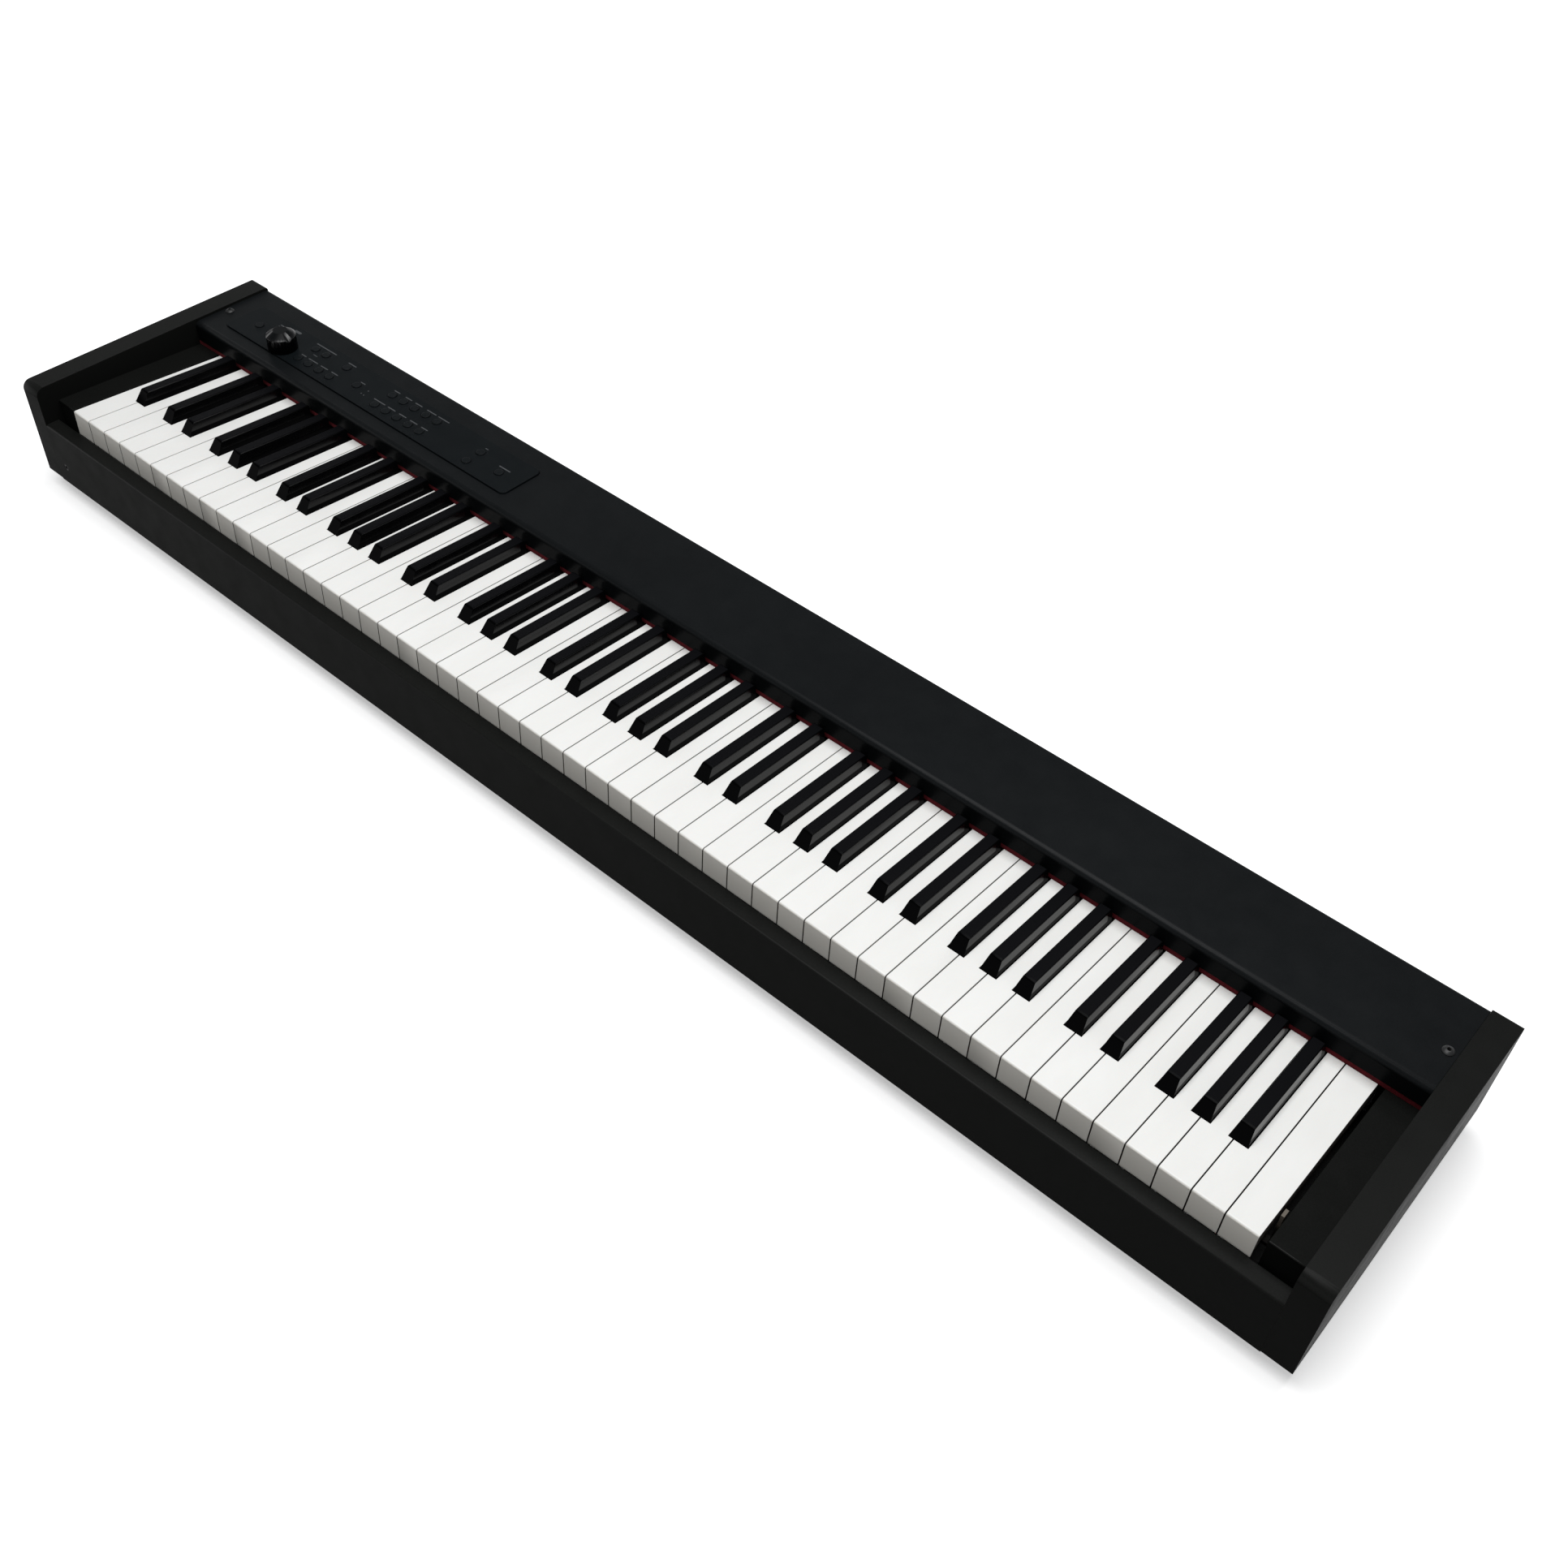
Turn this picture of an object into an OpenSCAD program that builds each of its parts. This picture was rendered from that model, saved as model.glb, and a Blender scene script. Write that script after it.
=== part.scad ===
// Slim 88-key stage piano: a shallow black case with square cheeks, a weighted keyboard and a small
// control plate with one knob. The player sits on the -Y side, the low notes are at -X, and the
// feet stand on Z = 0. Sizes are in millimetres.

/* [Case] */
// Overall width across the two cheeks
body_w = 1327; // [1315:1:1345]
// Overall depth of the cheeks
body_d = 254; // [250:1:270]
// Height of the cheeks, without the feet
cheek_h = 95.4; // [92:0.2:104]
// Thickness of each cheek
cheek_t = 22; // [18:0.5:24]
// Radius of the cheek's front top corner
cheek_round = 8; // [3:0.5:14]
// Height of the rubber feet
foot_h = 18; // [10:1:24]
// Thickness of the base board and the rear board
board_t = 12; // [9:0.5:15]
// Thickness of the front rail
rail_t = 13.6; // [11:0.2:13.6]
// How far the rail's top lies below the key tops at the front
rail_drop = 22; // [18:0.5:24]

/* [Top panel] */
// How far the panel lies below the cheek tops
panel_drop = 2.4; // [1:0.2:5]
// Distance from the front of the cheeks to the panel's front face
panel_setback = 169.3; // [166:0.5:172]
// Sheet thickness of the panel
sheet_t = 1.6; // [1:0.1:2]
// Outer bend radius along the panel's front edge
panel_round = 5; // [3:0.5:6]

/* [Keys] */
// Width of one white key with its share of the gap
key_pitch = 23.5; // [23:0.1:23.8]
// Gap between two white keys
key_gap = 1.0; // [0.8:0.1:1.4]
// Distance from the front of the cheeks to the key fronts
key_setback = 15.3; // [15.3:0.1:17]
// How far the key tops lie below the cheek tops at the front
key_drop = 14.3; // [12:0.1:17]
// Slope of the key tops, down towards the back, in degrees
key_tilt = 4.28; // [2:0.02:5]
// Length of the wide front part of a white key
head_l = 50.2; // [48:0.2:53]
// Height of a black key above the white ones
sharp_h = 11.5; // [10:0.5:12.5]
// Width of a black key at its flat top
sharp_top_w = 9.4; // [8.8:0.1:10]
// Width of a black key at its foot
sharp_foot_w = 13.3; // [12.6:0.1:13.6]

/* [Control plate] */
// Length of the raised control plate
plate_w = 389; // [380:1:400]
// Depth of the raised control plate
plate_d = 45; // [42:0.5:48]
// How far the plate stands above the panel
plate_rise = 1.2; // [0.6:0.1:1.6]
// Diameter of a button
button_d = 8.4; // [7.5:0.1:8.8]
// Centre distance of the buttons in a row
button_pitch = 15.2; // [14.5:0.1:16]
// Diameter of the knob at its foot
knob_d = 27.8; // [26:0.2:30]
// Height of the knob
knob_h = 18; // [16:0.5:20]

/* [Hidden] */

$fn = 48;
eps = 0.01;

// Levels and edges of the case
case_z = foot_h;
cheek_top = case_z + cheek_h;
front_y = -body_d / 2;
back_y = body_d / 2;
inner_w = body_w - 2 * cheek_t;
case_fit = 0.3;
panel_top = cheek_top - panel_drop;
panel_under = panel_top - sheet_t;
panel_y = front_y + panel_setback;
floor_top = case_z + board_t;
rear_face = back_y - sheet_t;
rear_inner = rear_face - board_t;

// The key field: 52 white keys centred in the case. Keys are drawn in their own frame, where y runs
// back from the key fronts, z rises from the plane of the white tops, and x starts at the lowest key
white_count = 52;
field_w = white_count * key_pitch;
key_y = front_y + key_setback;
key_z = cheek_top - key_drop;
field_x = -field_w / 2;

// Side view of a key: the top plate, the skirts under it and the tail that reaches the pivot
front_lip = 23.6;
front_undercut = 1.2;
below = 30;
skirt_h = 17;
top_l = 158;
tail_l = 214;
tail_drop = 3;
pivot_s = 206;
pivot_h = -12;
plate_t = 2.4;
skirt_t = 1.6;
tip_round = 1.6;
sharp_gap = 0.55;
notch_half = sharp_foot_w / 2 + sharp_gap;
sharp_back = 151;
nose_run = 6.8;
rod_r = 2;
rod_play = 0.05;
web_s = 122;
web_t = 4;

// The keybed's tray and what stands on it, as heights below the key plane's front edge
tray_drop = 40;
tray_t = 1.6;
tray_z = key_z - tray_drop;

// Position of the control plate and of the board under it
plate_x = field_x - 6.4;
plate_y = front_y + 186.3;
plate_top = panel_top + plate_rise;
plate_lip = 1.5;
plate_under = panel_under - plate_lip;
plate_corner = 5;
button_hole = 0.45;
button_rise = 0.6;
button_travel = 0.8;
pcb_t = 1.6;
pcb_top = plate_under - 6;

// Rows and columns of the buttons, counted from the plate's lower left corner
lower_row = 11.3;
upper_row = 31.9;
left_column = 96.4;
bank_column = 206.7;
knob_spot = [72.6, 12.6];
power_spot = [25.4, 21.2];
middle_spot = [170.9, 19.8];
value_column = 330.2;
value_down_row = 11.1;
value_up_row = 27.6;
end_spot = [363.5, 18.9];
button_spots = concat(
    [power_spot],
    [for (i = [0, 1, 3]) [left_column + i * button_pitch, upper_row]],
    [for (i = [0:3]) [left_column + i * button_pitch, lower_row]],
    [middle_spot],
    [for (i = [0:4]) [bank_column + i * button_pitch, upper_row]],
    [for (i = [0:4]) [bank_column + i * button_pitch, lower_row]],
    [[value_column, value_up_row], [value_column, value_down_row], end_spot]
);

// The socket row at the rear, counted from its left end as the player sees it
recess_w = 200;
recess_h = 28;
recess_x = -540;
recess_z = floor_top + 4;
socket_z = recess_z + recess_h / 2 - 1;
jack_r = 3.25;
jack_spots = [90, 115, 140];
midi_spots = [24, 54];
inlet_spot = 176;

// Colours as the photo shows them
case_black = [0.09, 0.09, 0.095];
plate_black = [0.11, 0.115, 0.125];
ivory = [0.93, 0.93, 0.91];
ebony = [0.06, 0.06, 0.065];
felt_red = [0.45, 0.05, 0.08];
tan_plastic = [0.72, 0.64, 0.52];
board_green = [0.08, 0.25, 0.14];
steel = [0.62, 0.63, 0.65];
rubber_black = [0.05, 0.05, 0.05];

// Unit vector from a to b
function toward(a, b) = (b - a) / norm(b - a);

// Point on edge a-b at which an arc of radius r in corner a starts
function arc_start(before, a, b, r) =
    let (u = toward(a, before), v = toward(a, b), half = acos(u * v) / 2)
    a + v * r / tan(half);

function arc_centre(before, a, b, r) =
    let (u = toward(a, before), v = toward(a, b), half = acos(u * v) / 2)
    a + toward([0, 0], u + v) * r / sin(half);

// Convex outline whose corners are true arcs: corners is a list of [point, radius]
module rounded_outline(corners) {
    n = len(corners);
    polygon([for (i = [0:n - 1]) each
        let (a = corners[i][0], r = corners[i][1],
             before = corners[(i + n - 1) % n][0], after = corners[(i + 1) % n][0])
        r > 0 ? [arc_start(after, a, before, r), arc_start(before, a, after, r)] : [a]]);
    for (i = [0:n - 1]) {
        a = corners[i][0];
        r = corners[i][1];
        if (r > 0)
            translate(arc_centre(corners[(i + n - 1) % n][0], a, corners[(i + 1) % n][0], r)) circle(r);
    }
}

// Side outline, drawn as (y, z), pushed along x from x0 over the length w
module side_extrude(x0, w) {
    translate([x0, 0, 0]) rotate([90, 0, 90]) linear_extrude(w) children();
}

// Front outline, drawn as (x, z), pushed back from y0 over the length d
module front_extrude(y0, d) {
    translate([0, y0 + d, 0]) rotate([90, 0, 0]) linear_extrude(d) children();
}

module block(low, high) {
    translate(low) cube(high - low);
}

// Vertical cylinder from z0 up to z1
module post(x, y, z0, z1, r) {
    translate([x, y, z0]) cylinder(h = z1 - z0, r = r);
}

module key_frame() {
    translate([field_x, key_y, key_z]) rotate([-key_tilt, 0, 0]) children();
}

// Letter of white key n, with 0 for A, 1 for B and so on up to 6 for G
function letter(n) = n % 7;

// True where a black key follows white key n: after A, C, D, F and G
function has_sharp(n) = n >= 0 && n < white_count - 1 && letter(n) != 1 && letter(n) != 4;

// Offset of a black key from the gap it straddles. From C to E five tails share three white widths,
// and from F to B seven tails share four
ce_tail = 3 * key_pitch / 5;
fb_tail = 4 * key_pitch / 7;
sharp_shift = [
    5.5 * fb_tail - 3 * key_pitch, 0, 1.5 * ce_tail - key_pitch, 3.5 * ce_tail - 2 * key_pitch, 0,
    1.5 * fb_tail - key_pitch, 3.5 * fb_tail - 2 * key_pitch
];
function sharp_x(n) = (n + 1) * key_pitch + sharp_shift[letter(n)];
function whites_of(l) = [for (n = [l:7:white_count - 1]) n];
function sharps_of(l) = [for (n = whites_of(l)) if (has_sharp(n)) n];

// Left and right edges of a white key's body behind its head
function body_left(n) = has_sharp(n - 1) ? sharp_x(n - 1) + notch_half : n * key_pitch + key_gap / 2;
function body_right(n) = has_sharp(n) ? sharp_x(n) - notch_half : (n + 1) * key_pitch - key_gap / 2;

// One white key: a thin-walled moulding with a slightly undercut front, notched beside the black
// keys and open below. A web across it presses the contact dome, and its tail turns on the pivot rod
module white_key(n) {
    left = n * key_pitch + key_gap / 2;
    right = (n + 1) * key_pitch - key_gap / 2;
    w = right - left;
    difference() {
        intersection() {
            side_extrude(left, w) union() {
                rounded_outline([
                    [[front_undercut, -front_lip], 0], [[3, -front_lip], 0], [[3, 0], 0], [[0, 0], tip_round]
                ]);
                polygon([
                    [2.5, 0], [top_l, 0], [top_l + 2, -tail_drop], [tail_l, -tail_drop],
                    [tail_l, -skirt_h], [2.5, -skirt_h]
                ]);
            }
            union() {
                block([left, -1, -below], [right, head_l, 1]);
                block([body_left(n), -1, -below], [body_right(n), tail_l + 1, 1]);
            }
        }
        block([left + skirt_t, skirt_t + 1, -below], [right - skirt_t, head_l - skirt_t, -plate_t]);
        block([body_left(n) + skirt_t, skirt_t + 1, -below], [body_right(n) - skirt_t, web_s, -plate_t]);
        block([body_left(n) + skirt_t, web_s + web_t, -below], [body_right(n) - skirt_t, top_l - 3, -plate_t]);
        block([body_left(n) + skirt_t, web_s + web_t, -below],
              [body_right(n) - skirt_t, tail_l - skirt_t, -tail_drop - plate_t]);
        translate([left - 1, pivot_s, pivot_h]) rotate([0, 90, 0]) cylinder(h = w + 2, r = rod_r + rod_play);
    }
}

// One black key: a tapered block with a sloping nose, on a hollow body that reaches the pivot rod
module black_key(n) {
    x = sharp_x(n);
    foot = sharp_foot_w / 2;
    top = sharp_top_w / 2;
    front = head_l + 0.5;
    difference() {
        intersection() {
            side_extrude(x - foot, sharp_foot_w) union() {
                rounded_outline([
                    [[front, 0], 0], [[sharp_back, 0], 0], [[sharp_back, sharp_h], 2],
                    [[front + nose_run, sharp_h], 3]
                ]);
                polygon([
                    [front, 0], [front, -skirt_h], [tail_l, -skirt_h], [tail_l, -tail_drop],
                    [sharp_back, -tail_drop], [sharp_back, 0]
                ]);
            }
            front_extrude(front - 1, tail_l - front + 2) union() {
                rounded_outline([
                    [[x + foot, 0], 0], [[x + top, sharp_h], 1], [[x - top, sharp_h], 1], [[x - foot, 0], 0]
                ]);
                translate([x - foot, -below]) square([sharp_foot_w, below]);
            }
        }
        block([x - foot + skirt_t, front + skirt_t, -below], [x + foot - skirt_t, web_s, -tail_drop - plate_t]);
        block([x - foot + skirt_t, web_s + web_t, -below],
              [x + foot - skirt_t, tail_l - skirt_t, -tail_drop - plate_t]);
        translate([x - foot - 1, pivot_s, pivot_h]) rotate([0, 90, 0])
            cylinder(h = sharp_foot_w + 2, r = rod_r + rod_play);
    }
}

module white_keys(l) {
    color(ivory) key_frame() for (n = whites_of(l)) white_key(n);
}

module black_keys(l) {
    color(ebony) key_frame() for (n = sharps_of(l)) black_key(n);
}

// Cheek with a large arc at the front top corner and a cleat inside that takes the panel's screw
cleat_w = 15;
cleat_d = 60;
cleat_h = 18;
screw_y = front_y + 204.3;
screw_inset = 7;
edge_round = 1.5;

module cheek(side) {
    outer = side * body_w / 2;
    inner = side * inner_w / 2;
    x0 = min(outer, inner);
    cleat_x = min(inner, inner - side * cleat_w);
    color(case_black) difference() {
        union() {
            side_extrude(x0, cheek_t) rounded_outline([
                [[front_y, case_z], edge_round], [[back_y, case_z], edge_round],
                [[back_y, cheek_top], 2 * edge_round], [[front_y, cheek_top], cheek_round]
            ]);
            block([cleat_x, screw_y - cleat_d / 2, panel_under - cleat_h],
                  [cleat_x + cleat_w, screw_y + cleat_d / 2, panel_under]);
        }
        post(inner - side * screw_inset, screw_y, panel_under - cleat_h - 1, panel_under + 1, pilot_r);
    }
}

// Base board between the cheeks, from the rail to the rear board
module base_board() {
    color(case_black) block([-inner_w / 2, front_y + rail_t, case_z], [inner_w / 2, rear_inner, floor_top]);
}

// Front rail: a plain board flush with the cheeks, with its top edges broken
phones_x = field_x - 16.7;
phones_z = case_z + 19.2;
phones_r = 3.2;

module front_rail() {
    rail_top = key_z - rail_drop;
    color(case_black) difference() {
        side_extrude(-inner_w / 2, inner_w) rounded_outline([
            [[front_y, case_z], 0], [[front_y + rail_t, case_z], 0],
            [[front_y + rail_t, rail_top], 1], [[front_y, rail_top], 1.5]
        ]);
        translate([phones_x, front_y - 1, phones_z]) rotate([-90, 0, 0]) cylinder(h = rail_t + 2, r = phones_r);
    }
}

// Rear board, rounded on top to clear the panel's rear bend, with the opening for the sockets
module rear_board() {
    color(case_black) difference() {
        side_extrude(-inner_w / 2, inner_w) rounded_outline([
            [[rear_inner, case_z], 0], [[rear_face, case_z], 0],
            [[rear_face, panel_under], 2], [[rear_inner, panel_under], 0]
        ]);
        block([recess_x, rear_inner - 1, recess_z], [recess_x + recess_w, rear_face + 1, recess_z + recess_h]);
    }
}

// Folded top panel: front flange over the key tails, flat top, short rear flange, and a cut-out
// for the control plate
fascia_drop = 6.7;
rear_flange = 14;
screw_hole_r = 2.3;

module panel_outline(inset, open) {
    r_front = panel_round - inset;
    r_rear = 3 - inset;
    rounded_outline([
        [[panel_y + inset, key_z - fascia_drop - open], 0],
        [[back_y - inset, key_z - fascia_drop - open], 0],
        [[back_y - inset, panel_top - inset], r_rear],
        [[panel_y + inset, panel_top - inset], r_front]
    ]);
}

module top_panel() {
    half = inner_w / 2 - case_fit;
    color(case_black) difference() {
        side_extrude(-half, 2 * half) difference() {
            panel_outline(0, 0);
            panel_outline(sheet_t, 5);
            translate([back_y - 2 * sheet_t, key_z - fascia_drop - 5])
                square([3 * sheet_t, panel_top - rear_flange - key_z + fascia_drop + 5]);
        }
        plate_cut(plate_fit, panel_under - 1, panel_top + 1);
        for (side = [-1, 1])
            post(side * (inner_w / 2 - screw_inset), screw_y, panel_under - 1, panel_top + 1, screw_hole_r);
    }
}

// Felt that wraps the lower edge of the fascia and closes the slot above the white keys
felt_t = 3;
felt_gap = 0.4;
felt_h = 9;
felt_inset = 0.3;

module felt_strip() {
    y = panel_y + felt_inset;
    back = panel_y + sheet_t + felt_t;
    low = key_z - (y - key_y) * tan(key_tilt) + felt_gap;
    half = inner_w / 2 - case_fit;
    color(felt_red) side_extrude(-half, 2 * half) polygon([
        [y, low], [back, low], [back, low + felt_h], [panel_y + sheet_t, low + felt_h],
        [panel_y + sheet_t, key_z - fascia_drop], [y, key_z - fascia_drop]
    ]);
}

// Blocks that fill the field between the end keys and the cheeks
left_block_gap = 2.5;
right_block_gap = 4.6;
block_front = 3.2;
block_back = 160;
block_low = 46;

module key_block(x0, x1) {
    side_extrude(x0, x1 - x0) translate([key_y, key_z]) rounded_outline([
        [[block_front, -block_low], 0], [[block_back, -block_low], 0],
        [[block_back, -11.8], 0], [[block_front, -3.5], 0.8]
    ]);
}

module key_blocks() {
    color(case_black) {
        key_block(-inner_w / 2, field_x - left_block_gap);
        key_block(field_x + field_w + right_block_gap, inner_w / 2);
    }
}

// Rectangle of the control plate with round corners, grown by g, from z0 to z1
plate_fit = 0.6;
plate_flange = 4;

module plate_cut(g, z0, z1) {
    translate([0, 0, z0]) linear_extrude(z1 - z0) rounded_outline([
        [[plate_x - g, plate_y - g], plate_corner + g],
        [[plate_x + plate_w + g, plate_y - g], plate_corner + g],
        [[plate_x + plate_w + g, plate_y + plate_d + g], plate_corner + g],
        [[plate_x - g, plate_y + plate_d + g], plate_corner + g]
    ]);
}

// Control plate: it passes through the panel's cut-out, its flange lies under the sheet, and its
// bosses carry the button board
boss_spots = [[8, 8], [8, 37], [150, 38], [150, 7], [312, 38], [312, 7], [381, 8], [381, 37]];
shaft_hole_r = 3.6;

module control_plate() {
    color(plate_black) difference() {
        union() {
            plate_cut(0, plate_under, plate_top);
            plate_cut(plate_flange, plate_under, panel_under);
            for (p = boss_spots) post(plate_x + p[0], plate_y + p[1], pcb_top, plate_under + 1, 2.5);
        }
        for (p = button_spots)
            post(plate_x + p[0], plate_y + p[1], plate_under - 1, plate_top + 1, button_d / 2 + button_hole);
        post(plate_x + knob_spot[0], plate_y + knob_spot[1], plate_under - 1, plate_top + 1, shaft_hole_r);
    }
}

// Button: a low cap in the plate, a stop flange under it and a stem that presses the switch
button_flange = 1;
button_lip = 1.1;
button_stem_r = 1.6;
switch_h = 2.6;

module panel_button(i) {
    p = button_spots[i];
    x = plate_x + p[0];
    y = plate_y + p[1];
    cap_top = plate_top + button_rise;
    flange_top = plate_under - button_hole;
    stem_low = pcb_top + switch_h + button_travel + button_hole;
    color(plate_black) union() {
        translate([x, y, 0]) rotate_extrude() rounded_outline([
            [[0, flange_top - button_flange], 0], [[button_d / 2, flange_top - button_flange], 0],
            [[button_d / 2, cap_top], 0.6], [[0, cap_top], 0]
        ]);
        post(x, y, flange_top - button_flange, flange_top, button_d / 2 + button_lip);
        post(x, y, stem_low, flange_top, button_stem_r);
    }
}

// Board under the plate with one small switch below each button
module button_board() {
    color(board_green) union() {
        block([plate_x + 3, plate_y + 3, pcb_top - pcb_t], [plate_x + plate_w - 3, plate_y + plate_d - 3, pcb_top]);
        for (p = button_spots) {
            x = plate_x + p[0];
            y = plate_y + p[1];
            block([x - 3, y - 3, pcb_top - eps], [x + 3, y + 3, pcb_top + switch_h - 0.6]);
            post(x, y, pcb_top, pcb_top + switch_h, 1.7);
        }
    }
}

// Volume potentiometer: a small body on the board with a hollow rotor that takes the knob's stem
stem_r = 3;
pot_h = 5;

module volume_pot() {
    x = plate_x + knob_spot[0];
    y = plate_y + knob_spot[1];
    color(steel) difference() {
        block([x - 5, y - 5.5, pcb_top], [x + 5, y + 5.5, pcb_top + pot_h]);
        post(x, y, pcb_top + 1, pcb_top + pot_h + 1, stem_r + rod_play);
    }
}

// Knob: a nearly straight skirt under a wide bevel with three finger scoops, a hollow underside and
// a long stem
knob_gap = 0.5;
knob_wall = 2.2;
knob_cavity = 8;
skirt_taper = 0.2;
bevel = 4.6;
bevel_run = 6.9;
hub_r = 5.4;
scoop_angles = [116, 236, 356];
scoop_r = 5;
scoop_slope = 41.6;
scoop_drop = 6;
scoop_inset = 0.7;
scoop_l = 24;

module volume_knob() {
    foot = knob_d / 2;
    skirt = foot - skirt_taper;
    low = plate_top + knob_gap;
    color(ebony) translate([plate_x + knob_spot[0], plate_y + knob_spot[1], 0]) {
        difference() {
            translate([0, 0, low]) rotate_extrude() polygon([
                [0, 0], [foot, 0], [skirt, knob_h - bevel], [skirt - bevel_run, knob_h], [0, knob_h]
            ]);
            for (a = scoop_angles) rotate([0, 0, a])
                translate([skirt - scoop_inset, 0, low + knob_h - scoop_drop]) rotate([0, scoop_slope, 0])
                    translate([0, 0, scoop_r]) rotate([0, 90, 0]) cylinder(h = scoop_l, r = scoop_r, center = true);
            post(0, 0, low - 1, low + knob_cavity, foot - knob_wall);
        }
        post(0, 0, low, low + knob_cavity + 1, hub_r);
        post(0, 0, pcb_top + 1.5, low + 1, stem_r);
    }
}

// Button-head screws that hold the panel to the cleats
pilot_r = 2.05;
thread_r = 2;
thread_l = 9;
screw_head_r = 4.3;
screw_dome_r = 6.2;
screw_head_h = 2.3;
hex_r = 1.5;

module panel_screws() {
    color(ebony) for (side = [-1, 1])
        translate([side * (inner_w / 2 - screw_inset), screw_y, panel_top]) difference() {
            rotate_extrude() union() {
                intersection() {
                    translate([0, screw_head_h - screw_dome_r]) circle(screw_dome_r);
                    square([screw_head_r, 3]);
                }
                translate([0, -sheet_t - thread_l]) square([thread_r, sheet_t + thread_l + 0.5]);
            }
            translate([0, 0, 0.9]) cylinder(h = 3, r = hex_r, $fn = 6);
        }
}

// Sheet-steel tray of the keyboard on two legs, with ribs under the contact board
leg_front = 10;
leg_rear = 184;
tray_front = 5;
tray_back = 213;
rib_h = 2;
contact_front = 108;
contact_back = 140;
end_inset = 3;
// Tray and pivot rail lie in the case's frame, so their depths are measured level from the key
// fronts. They and the boards end just inside the outer keys, out of sight in the gaps beside them

module keybed_chassis() {
    color(steel) side_extrude(field_x + end_inset, field_w - 2 * end_inset) translate([key_y, tray_z]) union() {
        translate([tray_front, -tray_t]) square([tray_back - tray_front, tray_t]);
        for (leg = [leg_front, leg_rear])
            translate([leg, floor_top - tray_z]) square([tray_t, tray_z - floor_top]);
        for (leg = [leg_front, leg_rear])
            translate([leg - 10, floor_top - tray_z]) square([10 + tray_t, tray_t]);
        for (rib = [contact_front + 3, contact_back - 5]) translate([rib, 0]) square([2, rib_h]);
    }
}

// Tan guide rail under the fronts of the keys: one post inside each white key, a second row inside
// the black keys, and a tab that shows beside the highest key
guide_s = 26;
guide_top = 14.5;
sharp_guide_s = 70;
sharp_guide_top = 18.5;
tab_x = 1223.5;
tab_t = 2.2;
tab_half = 3;

module key_guide_rail() {
    low = -tray_drop;
    color(tan_plastic) translate([field_x, key_y, key_z]) union() {
        block([end_inset, guide_s - 8, low], [field_w - end_inset, sharp_guide_s + 8, low + 3]);
        block([field_w - 2 * end_inset, guide_s - tab_half, low], [tab_x + tab_t, guide_s + tab_half, low + 3]);
        for (n = [0:white_count - 1]) {
            x = (n + 0.5) * key_pitch;
            block([x - 3, guide_s - 4, low + 2], [x + 3, guide_s + 4, -guide_top]);
            if (has_sharp(n)) block([sharp_x(n) - 2.5, sharp_guide_s - 4, low + 2],
                                    [sharp_x(n) + 2.5, sharp_guide_s + 4, -sharp_guide_top]);
        }
        block([tab_x, guide_s - tab_half, low], [tab_x + tab_t, guide_s + tab_half, -3]);
    }
}

// Centres of all 88 key tails, in order from the left
function white_tail(n) = (body_left(n) + body_right(n)) / 2;
tail_centres = concat(
    [for (n = [0:white_count - 1]) white_tail(n)],
    [for (n = [0:white_count - 1]) if (has_sharp(n)) sharp_x(n)]
);

// Place of the pivot in the case's frame, measured from the key fronts
pivot_y = pivot_s * cos(key_tilt) + pivot_h * sin(key_tilt);
pivot_z = pivot_h * cos(key_tilt) - pivot_s * sin(key_tilt);

// Pivot rail: one post inside each key's tail, slotted for the rod
module pivot_rail() {
    low = -tray_drop;
    color(tan_plastic) translate([field_x, key_y, key_z]) difference() {
        union() {
            block([end_inset, pivot_y - 8, low], [field_w - end_inset, pivot_y + 7, low + 3]);
            for (x = tail_centres)
                block([x - 2.5, pivot_y - 4, low + 2], [x + 2.5, pivot_y + 4, pivot_z + 1]);
        }
        block([-1, pivot_y - rod_r - rod_play, pivot_z - rod_r], [field_w + 1, pivot_y + rod_r + rod_play, 0]);
    }
}

module pivot_rod() {
    color(steel) translate([field_x + 0.5, key_y + pivot_y, key_z + pivot_z]) rotate([0, 90, 0])
        cylinder(h = field_w - 1, r = rod_r);
}

// Contact board under the keys, and the rubber strip on it with one dome below each key
dome_top = 31;
dome_r = 2.8;
strip_t = 1;

module contact_board() {
    low = tray_z + rib_h;
    color(board_green) block([field_x + end_inset, key_y + contact_front, low],
                             [field_x + field_w - end_inset, key_y + contact_back, low + pcb_t]);
}

module contact_rubber() {
    low = -tray_drop + rib_h + pcb_t;
    s = (contact_front + contact_back) / 2;
    color(rubber_black) translate([field_x, key_y, key_z]) union() {
        block([end_inset + 1, s - 7, low], [field_w - end_inset - 1, s + 7, low + strip_t]);
        for (x = tail_centres) post(x, s, low + strip_t - eps, -dome_top, dome_r);
    }
}

// Main board on four stand-offs behind the left end of the case, with its larger components
module main_board() {
    x0 = field_x + 60;
    y0 = key_y + 60;
    w = 190;
    d = 90;
    z = floor_top + 5;
    color(board_green) union() {
        block([x0, y0, z], [x0 + w, y0 + d, z + pcb_t]);
        for (p = [[6, 6], [w - 6, 6], [6, d - 6], [w - 6, d - 6]])
            post(x0 + p[0], y0 + p[1], floor_top, z + eps, 3);
        for (p = [[40, 30, 20], [85, 34, 26], [130, 28, 16]])
            block([x0 + p[0], y0 + p[1], z + pcb_t - eps], [x0 + p[0] + p[2], y0 + p[1] + p[2], z + pcb_t + 2.4]);
        for (x = [22, 38, 54]) post(x0 + x, y0 + 74, z + pcb_t - eps, z + pcb_t + 9, 4);
    }
}

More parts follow.
